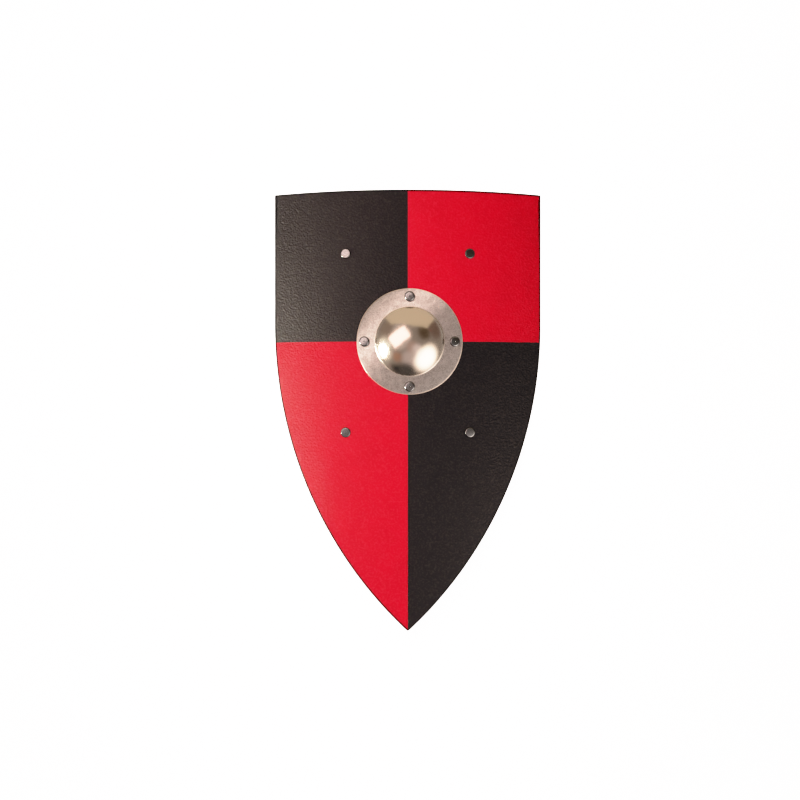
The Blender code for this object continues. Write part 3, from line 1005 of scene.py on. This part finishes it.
# %% The boss's finish
BOSS_METAL = (0.94, 0.86, 0.775, 1.0)
FLANGE_METAL = (0.745, 0.742, 0.725, 1.0)
FLANGE_DULL = 0.58
FINE_MOTTLE = 750.0
WIDE_MOTTLE = 170.0
WIDE_SHARE = 0.5
MOTTLE_RANGE = (0.55, 0.95)
FLANGE_ROUGHNESS = (0.27, 0.37)
FLANGE_BEND = 1.75
FLANGE_BEND_LOWER = 0.5
DOME_CLOUDS = 240.0
DOME_ROUGHNESS = (0.15, 0.20)
FLANGE_STARTS = (-0.0006, 0.0012)
POLISH_ENDS = (-0.0016, 0.0002)
# Where the painted highlight on the flange's outer edge begins and ends.
RIM_HIGHLIGHT_STARTS = (-0.0012, -0.0006)
RIPPLE_SCALE = 75.0
RIPPLE_HEIGHT = 0.00011
SCRATCH_DEPTH = 0.00006
SCRATCH_TURNS = (25, -40, 80, 140)
SCRATCH_SHAPE = (2600, 170, 600)
SCRATCH_LINES = (0.35, 0.65)
SCRATCH_PATCH_SCALE = 170.0
SCRATCH_PATCHES = (0.45, 0.65)


def beyond(distance, radius, starts):
    """0 inside a circle round the boss's axis, 1 outside it, with a soft step between."""
    return remap(distance, radius + starts[0], radius + starts[1])


def scratches(tree, turn):
    """Fine parallel scratches along one direction, in patches of their own."""
    lines = remap(noise(places(tree, SCRATCH_SHAPE, turn=turn)), *SCRATCH_LINES)
    patches = noise(places(tree, centre=(turn, 0, 0)), SCRATCH_PATCH_SCALE)
    return calculate("MULTIPLY", lines, remap(patches, *SCRATCH_PATCHES))


def diagonal_bend(x, y, share):
    """Lets the flange shine like a sheet that bends along a diagonal, not with the board."""
    across = calculate("SUBTRACT", x, y)
    upper_left = calculate("MINIMUM", across, 0.0)
    height = calculate("MULTIPLY", calculate("MULTIPLY", x, x), 0.5 / bend_radius)
    for part, bend in ((upper_left, FLANGE_BEND - FLANGE_BEND_LOWER), (across, FLANGE_BEND_LOWER)):
        sunk = calculate("MULTIPLY", calculate("MULTIPLY", part, part), bend)
        height = calculate("SUBTRACT", height, sunk)
    return bump(height, 1.0, strength=share)


def boss_finish():
    """Steel: a mirror on the dome, rubbed on the flange."""
    finish, tree, shader = new_finish("pressed steel")
    x, y, _ = split(places(tree, centre=(boss_x, boss_y, 0)))
    distance = calculate_vector("LENGTH", combine(X=x, Y=y), result="Value")
    out = beyond(distance, dome_base, FLANGE_STARTS)
    fine = noise(places(tree), FINE_MOTTLE, detail=3.0, roughness=0.7)
    wide = calculate("MULTIPLY", noise(places(tree), WIDE_MOTTLE), WIDE_SHARE)
    mottle = remap(calculate("ADD", fine, wide), *MOTTLE_RANGE)
    flange = blend_colours(mottle, FLANGE_METAL, darker(FLANGE_METAL, FLANGE_DULL))
    # Painted highlight: the flange's outer edge takes the dome's brighter metal, a thin bright line
    # round the rim.
    flange = blend_colours(beyond(distance, boss_radius, RIM_HIGHLIGHT_STARTS), flange, BOSS_METAL)
    polished = spread(noise(places(tree), DOME_CLOUDS), *DOME_ROUGHNESS)
    rubbed = remap(mottle, 0.0, 1.0, *FLANGE_ROUGHNESS)
    leaning = diagonal_bend(x, y, out)
    ripple = bump(noise(places(tree), RIPPLE_SCALE, detail=1.0), RIPPLE_HEIGHT, leaning)
    marks = 0.0
    for turn in SCRATCH_TURNS:
        marks = calculate("MAXIMUM", scratches(tree, turn), marks)
    inputs = {
        "Metallic": 1.0,
        "Base Color": blend_colours(out, BOSS_METAL, flange),
        "Roughness": blend_values(beyond(distance, dome_base, POLISH_ENDS), polished, rubbed),
        "Normal": bump(calculate("MULTIPLY", marks, out), SCRATCH_DEPTH, ripple),
    }
    join(shader, inputs)
    return finish


boss_shell.data.materials.clear()
boss_shell.data.materials.append(boss_finish())
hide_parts("boss")
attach(boss_shell, "root")
print("boss finish done")

# %% [markdown]
# A rivet is turned once and set eight times. Its places are points on the flat sheet, and the
# bending nodes carry them onto the board with the lean that they have there. The rivets round
# the boss have a button head with a small centre mark, and those of the straps a flatter one.
# Each is turned by a seeded random angle, because nobody lines up the marks on rivets. Some
# heads were struck a little off square, so they mirror another part of the room and look dark.
# That is a small tilt kept on each point, and the finish adds it to the head's normal.

# %% Rivet sizes
HEAD_DIAMETER = 0.0115
BUTTON_HEIGHT = 0.0022
BUTTON_TOP = 0.0078
BUTTON_RIM = 0.0006
MARK_DIAMETER = 0.0018
MARK_DEPTH = 0.0004
MARK_PROFILE = ((0.0, 0.0), (0.3, 0.0), (0.48, 0.7))
LOW_HEIGHT = 0.0016
LOW_TOP = 0.0086
LOW_RIM = 0.0004
CROWNING = 0.00012
HEAD_BREAK = 0.0001
TAIL_DIAMETER = 0.0072
TAIL_HEIGHT = 0.0018
TAIL_TOP = 0.0036
WASHER_DIAMETER = 0.012
WASHER_THICKNESS = 0.001
WASHER_BREAK = 0.00015
STRAP_THICKNESS = 0.0025
STRAP_WIDTH = 0.028
HEAD_STEPS = 10
CROWN_STEPS = 4
RIVET_STEPS = 48

back_radius = bend_radius - BOARD_THICKNESS
strap_arch = back_radius - math.sqrt(back_radius**2 - (STRAP_WIDTH / 2) ** 2)
strap_seat = BOARD_THICKNESS + SEAT_GAP + strap_arch
strap_back = strap_seat + STRAP_THICKNESS
boss_lift = SEAT_GAP + BOSS_SHEET + SEAT_GAP
boss_grip = boss_lift + BOARD_THICKNESS + SEAT_GAP + WASHER_THICKNESS + SEAT_GAP
strap_grip = SEAT_GAP + strap_back + SEAT_GAP + WASHER_THICKNESS + SEAT_GAP
print("grips", round(boss_grip * 1000, 2), round(strap_grip * 1000, 2), "mm")


# %% Half section of a rivet
def rounded_side(flat, rim, height):
    """From the rim of a flat top down to the outer rim at zero."""
    points = []
    for step in range(HEAD_STEPS + 1):
        angle = math.radians(90) * step / HEAD_STEPS
        points.append((flat + (rim - flat) * math.sin(angle), height * math.cos(angle)))
    return points


def crowned_top(flat, height, start):
    """A nearly flat top that falls a little towards its rim."""
    points = []
    for step in range(CROWN_STEPS):
        radius = start + (flat - start) * step / CROWN_STEPS
        points.append((radius, height + CROWNING * (1 - (radius / flat) ** 2)))
    return points


def rivet_section(top, height, rim, mark, grip):
    """Head, shank and set tail, from the top's middle to the tail's middle."""
    flat = top / 2
    head = HEAD_DIAMETER / 2
    shank = SHANK_DIAMETER / 2
    section = []
    if mark:
        bottom = height + CROWNING - MARK_DEPTH
        section = [(mark * out, bottom + MARK_DEPTH * up) for out, up in MARK_PROFILE]
    section += crowned_top(flat, height, mark / 2)
    section += [(radius, rise + rim) for radius, rise in rounded_side(flat, head, height - rim)]
    section += [(head - HEAD_BREAK, HEAD_BREAK), (head - HEAD_BREAK * 3, 0.0)]
    section += [(shank, 0.0), (shank, -grip)]
    tail = rounded_side(TAIL_TOP / 2, TAIL_DIAMETER / 2, TAIL_HEIGHT)
    section += [(radius, -grip - rise) for radius, rise in reversed(tail)]
    return section + [(0.0, -grip - TAIL_HEIGHT)]


def washer_section():
    """A flat ring with broken corners."""
    inner = SHANK_DIAMETER / 2 + HOLE_PLAY
    outer = WASHER_DIAMETER / 2
    broken = outer - WASHER_BREAK
    low = -WASHER_THICKNESS
    side = [(outer, -WASHER_BREAK), (outer, low + WASHER_BREAK)]
    return [(inner, 0), (broken, 0)] + side + [(broken, low), (inner, low)]


# %% The tree that sets fasteners on the board
def fastener_tree():
    """Copies a turned piece to each point, square to the bent board."""
    sockets = {"Fastener": "Object", "Seed": "Int", "Finish": "Material"}
    tree, given, place, lean = bending_tree("fasteners on a board", sockets)
    inputs = {"Geometry": given["Geometry"], "Name": "lean", "Value": lean}
    points = follow("GeometryNodeStoreNamedAttribute", inputs, data_type="FLOAT", domain="POINT")
    points = follow("GeometryNodeSetPosition", {"Geometry": points, "Position": place})
    inputs = {"Object": given["Fastener"], "As Instance": True}
    model = follow("GeometryNodeObjectInfo", inputs, "Geometry")
    inputs = {"Points": points, "Instance": model, "Rotation": combine(Y=stored(tree, "lean"))}
    copies = follow("GeometryNodeInstanceOnPoints", inputs)
    inputs = {2: 0.0, 3: math.tau, "Seed": given["Seed"]}
    spin = follow("FunctionNodeRandomValue", inputs, 1, data_type="FLOAT")
    inputs = {"Instances": copies, "Rotation": combine(Z=spin), "Local Space": True}
    copies = follow("GeometryNodeRotateInstances", inputs)
    real = follow("GeometryNodeRealizeInstances", {"Geometry": copies})
    add(tree, "NodeGroupOutput", {"Geometry": dress(real, given["Finish"])})
    return tree


fasteners = fastener_tree()
print("fastener nodes", len(fasteners.nodes))


# %% Finishes of rivets and washers
RIVET_STEEL = (0.41, 0.44, 0.46, 1.0)
ZINC = (0.55, 0.56, 0.58, 1.0)
SPECKLE_SHADE = 0.8
EDGE_REACH = (0.86, 0.96)
ROUGHNESS_SHARES = (0.8, 1.25)


def metal_finish(name, colour, roughness, speckles, relief, edge_shade):
    """A plain metal with a fine grain in its shine and its surface, and a shaded outer edge."""
    finish, tree, shader = new_finish(name)
    speckle = spread(noise(places(tree), speckles, detail=3.0))
    metal = blend_colours(speckle, colour, darker(colour, SPECKLE_SHADE))
    at_edge = remap(kept(tree, "reach"), *EDGE_REACH)
    straight = add(tree, "ShaderNodeNewGeometry").outputs["Normal"]
    tilted = calculate_vector("ADD", straight, kept(tree, "tilt", "Vector"))
    inputs = {
        "Metallic": 1.0,
        "Base Color": blend_colours(at_edge, metal, darker(colour, edge_shade)),
        "Roughness": remap(speckle, 0.0, 1.0, *(roughness * share for share in ROUGHNESS_SHARES)),
        "Normal": bump(speckle, relief, calculate_vector("NORMALIZE", tilted)),
    }
    join(shader, inputs)
    return finish


metals = {
    "rivet": metal_finish(
        "rivet steel", RIVET_STEEL, roughness=0.20, speckles=700.0, relief=0.00001, edge_shade=0.25
    ),
    "washer": metal_finish(
        "zinc plate", ZINC, roughness=0.38, speckles=1500.0, relief=0.00002, edge_shade=0.8
    ),
}
print("metals", [finish.name for finish in metals.values()])


# %% Set fasteners
BOSS_NODES = ["boss_{}_" + side for side in ("right", "top", "left", "bottom")]
STRAP_NODES = [strap + "_strap_{}_" + end for strap in ("arm", "hand") for end in ("upper", "lower")]
NO_TILTS = ((0.0, 0.0),) * 4


def set_fasteners(kind, section, nodes, spots, height, seed, tilts=NO_TILTS):
    """Sets a turned piece at each spot, at a height over the face, and takes the nodes' place."""
    name = ("boss_" if nodes is BOSS_NODES else "strap_") + kind + "s"
    model = turned(name + "_model", section, RIVET_STEPS)
    bm = bmesh.new()
    tilt = bm.verts.layers.float_vector.new("tilt")
    for spot, tilted in zip(spots, tilts):
        bm.verts.new((*spot, height))[tilt] = (*tilted, 0.0)
    thing = as_object(name, bm)
    run_tree(thing, fasteners, {"Fastener": model, "Seed": seed, "Finish": metals[kind]})
    bpy.data.objects.remove(model)
    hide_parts(*(node.format(kind) for node in nodes))
    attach(thing, "root")
    print(name, "faces", len(thing.data.polygons))


# %% Rivets and washers
BOSS_TILTS = ((0.10, 0.06), (-0.04, 0.01), (0.0, 0.0), (0.0, 0.0))
STRAP_TILTS = ((0.12, 0.07), (0.0, 0.0), (0.0, 0.0), (0.10, -0.05))
button = rivet_section(BUTTON_TOP, BUTTON_HEIGHT, BUTTON_RIM, MARK_DIAMETER, boss_grip)
low_head = rivet_section(LOW_TOP, LOW_HEIGHT, LOW_RIM, 0.0, strap_grip)
ring = washer_section()
set_fasteners("rivet", button, BOSS_NODES, boss_places, boss_lift, 3, BOSS_TILTS)
set_fasteners("rivet", low_head, STRAP_NODES, strap_places, SEAT_GAP, 5, STRAP_TILTS)
set_fasteners("washer", ring, BOSS_NODES, boss_places, -BOARD_THICKNESS - SEAT_GAP, 7)
set_fasteners("washer", ring, STRAP_NODES, strap_places, -strap_back - SEAT_GAP, 9)

# %% [markdown]
# The straps are cut from brown leather 28 mm wide. Each end lies flat on the board under its
# rivet, and between them the strap hangs slack down to the table. A section with rounded edges
# and two creased lines is carried along that path. Cut edges are burnished, so they are darker
# and smoother than the grain side, and a per-point attribute says where they are.

# %% Strap sizes
STRAP_FLAT_END = 0.011
STRAP_RAMP = 0.036
ARM_STRAP_CLEARANCE = 0.0008
HAND_STRAP_CLEARANCE = 0.0040
CREASE_INSET = 0.0032
CREASE_WIDTH = 0.0011
CREASE_DEPTH = 0.00025
STRAP_END_STEPS = 20
STRAP_RAMP_STEPS = 28
STRAP_MIDDLE_STEPS = 12
SLOPE_REACH = 0.0004
EDGE_STEPS = 6
EDGE_FLATNESS = 0.8
UNDER_REACH = 0.008
BURNISH_REACH = 0.0016
LEATHER_SHARP = 50
CREASE_PROFILE = ((-1, 0), (-0.5, 0.7), (0, 1), (0.5, 0.7), (1, 0))


# %% The strap's path
def strap_depth(inward, lowest):
    """How deep the middle line lies at a distance from the lower rivet, and how far it has sunk."""
    seat_depth = strap_seat + STRAP_THICKNESS / 2
    nearer = min(inward, STRAP_SPAN - inward)
    share = min(1.0, max(0.0, (nearer - STRAP_FLAT_END) / STRAP_RAMP))
    sunk = share * share * (3 - 2 * share)
    return seat_depth + (lowest - seat_depth) * sunk, sunk


def strap_stations():
    """Distances from the lower rivet, with the half width there, from one round end to the other."""
    half = STRAP_WIDTH / 2
    stations = []
    for step in range(1, STRAP_END_STEPS + 1):
        angle = math.radians(90) * step / STRAP_END_STEPS
        stations.append((-half * math.cos(angle), half * math.sin(angle)))
    for step in range(STRAP_RAMP_STEPS + 1):
        stations.append((STRAP_FLAT_END + STRAP_RAMP * step / STRAP_RAMP_STEPS, half))
    reach = STRAP_SPAN - 2 * (STRAP_FLAT_END + STRAP_RAMP)
    middle = []
    for step in range(1, STRAP_MIDDLE_STEPS):
        middle.append((STRAP_FLAT_END + STRAP_RAMP + reach * step / STRAP_MIDDLE_STEPS, half))
    mirrored = [(STRAP_SPAN - inward, width) for inward, width in reversed(stations)]
    return stations + middle + mirrored


print("strap stations", len(strap_stations()))


# %% The strap's section
def strap_section(half):
    """Points across the strap and out of it, with rounded edges and a crease near each."""
    thick = STRAP_THICKNESS / 2
    scale = half / (STRAP_WIDTH / 2)
    points = []
    for step in range(EDGE_STEPS + 1):
        angle = math.radians(90 - 180 * step / EDGE_STEPS)
        inset = thick * (1 - math.cos(angle)) * EDGE_FLATNESS
        points.append((half - inset, thick * math.sin(angle)))
    far = [(-across, out) for across, out in reversed(points)]
    under = [(across * scale, -thick) for across in (UNDER_REACH, 0.0, -UNDER_REACH)]
    outer = []
    for centre in (-1, 1):
        middle = centre * (STRAP_WIDTH / 2 - CREASE_INSET) * scale
        for offset, sink in CREASE_PROFILE:
            across = middle + offset * CREASE_WIDTH / 2 * scale
            outer.append((across, thick - CREASE_DEPTH * sink))
    outer.insert(len(CREASE_PROFILE), (0.0, thick))
    return points + under + far + outer


def strap_edge_share(across, half):
    """1 on the burnished edge, 0 on the strap's middle."""
    return min(1.0, max(0.0, 1 - (half - abs(across)) / BURNISH_REACH))


# %% Make a strap
def make_strap(name, side_x, clearance, finish, replaced):
    """Carries the section along the path and closes the ends."""
    angle = math.asin(side_x / bend_radius)
    lowest = bend_radius - (clearance + STRAP_THICKNESS / 2 + axis_depth) / math.cos(angle)
    start_y = strap_y - STRAP_SPAN / 2
    bm = bmesh.new()
    burnish = bm.verts.layers.float.new("burnish")
    rings = []
    for inward, half in strap_stations():
        depth, sunk = strap_depth(inward, lowest)
        before, _ = strap_depth(inward - SLOPE_REACH, lowest)
        after, _ = strap_depth(inward + SLOPE_REACH, lowest)
        centre = bent(side_x, start_y + inward, depth)
        along = bent(side_x, SLOPE_REACH, after) - bent(side_x, -SLOPE_REACH, before)
        tilt = angle * (1 - sunk)
        across = Vector((math.cos(tilt), 0, -math.sin(tilt)))
        out = along.cross(across).normalized()
        near_end = max(0.0, 1 - (inward + STRAP_WIDTH / 2) / BURNISH_REACH)
        near_end = max(near_end, 1 - (STRAP_SPAN + STRAP_WIDTH / 2 - inward) / BURNISH_REACH)
        ring = []
        for a, b in strap_section(half):
            vert = bm.verts.new(centre + across * a + out * b)
            vert[burnish] = max(min(1.0, near_end), strap_edge_share(a, half))
            ring.append(vert)
        rings.append(ring)
    for ring, following in zip(rings, rings[1:]):
        for index in range(len(ring)):
            other = (index + 1) % len(ring)
            bm.faces.new([ring[index], ring[other], following[other], following[index]])
    bm.faces.new(rings[0])
    bm.faces.new(rings[-1])
    bmesh.ops.recalc_face_normals(bm, faces=bm.faces[:])
    thing = as_object(name, bm)
    shade(thing, LEATHER_SHARP)
    thing.data.materials.append(finish)
    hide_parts(replaced)
    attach(thing, "root")
    print(name, "faces", len(thing.data.polygons))


# %% The leather's finish
LEATHER = (0.17, 0.072, 0.030, 1.0)
LEATHER_DEEP = (0.085, 0.034, 0.014, 1.0)
BURNISHED = (0.045, 0.018, 0.008, 1.0)
CLOUDING = 95.0
LEATHER_ROUGHNESS = (0.46, 0.6)
BURNISHED_ROUGHNESS = 0.34
GRAIN_SCALE = 900.0
GRAIN_SLOPE = 0.2
GRAIN_HEIGHT = 0.00012
VALLEY_WIDTH = 0.12
VALLEY_SHARE = 0.35


def leather_finish():
    """Pebbled brown grain with darker, smoother cut edges."""
    finish, tree, shader = new_finish("brown leather")
    edge = kept(tree, "burnish")
    cloud = spread(noise(places(tree), CLOUDING, detail=4.0))
    grain = blend_colours(cloud, LEATHER, LEATHER_DEEP)
    inputs = {"Vector": places(tree), "Scale": GRAIN_SCALE}
    cells = follow("ShaderNodeTexVoronoi", inputs, "Distance", feature="DISTANCE_TO_EDGE")
    valley = remap(cells, 0.0, VALLEY_WIDTH, 1.0, 0.0)
    grain = blend_colours(calculate("MULTIPLY", valley, VALLEY_SHARE), grain, LEATHER_DEEP)
    rough = remap(cloud, 0.0, 1.0, *LEATHER_ROUGHNESS)
    height = calculate("MULTIPLY", remap(cells, 0.0, GRAIN_SLOPE), calculate("SUBTRACT", 1.0, edge))
    inputs = {
        "Base Color": blend_colours(edge, grain, BURNISHED),
        "Roughness": blend_values(edge, rough, BURNISHED_ROUGHNESS),
        "Normal": bump(height, GRAIN_HEIGHT),
    }
    join(shader, inputs)
    return finish


brown_leather = leather_finish()
make_strap("arm_strap_leather", strap_x, ARM_STRAP_CLEARANCE, brown_leather, "arm_strap")
make_strap("hand_strap_leather", -strap_x, HAND_STRAP_CLEARANCE, brown_leather, "hand_strap")
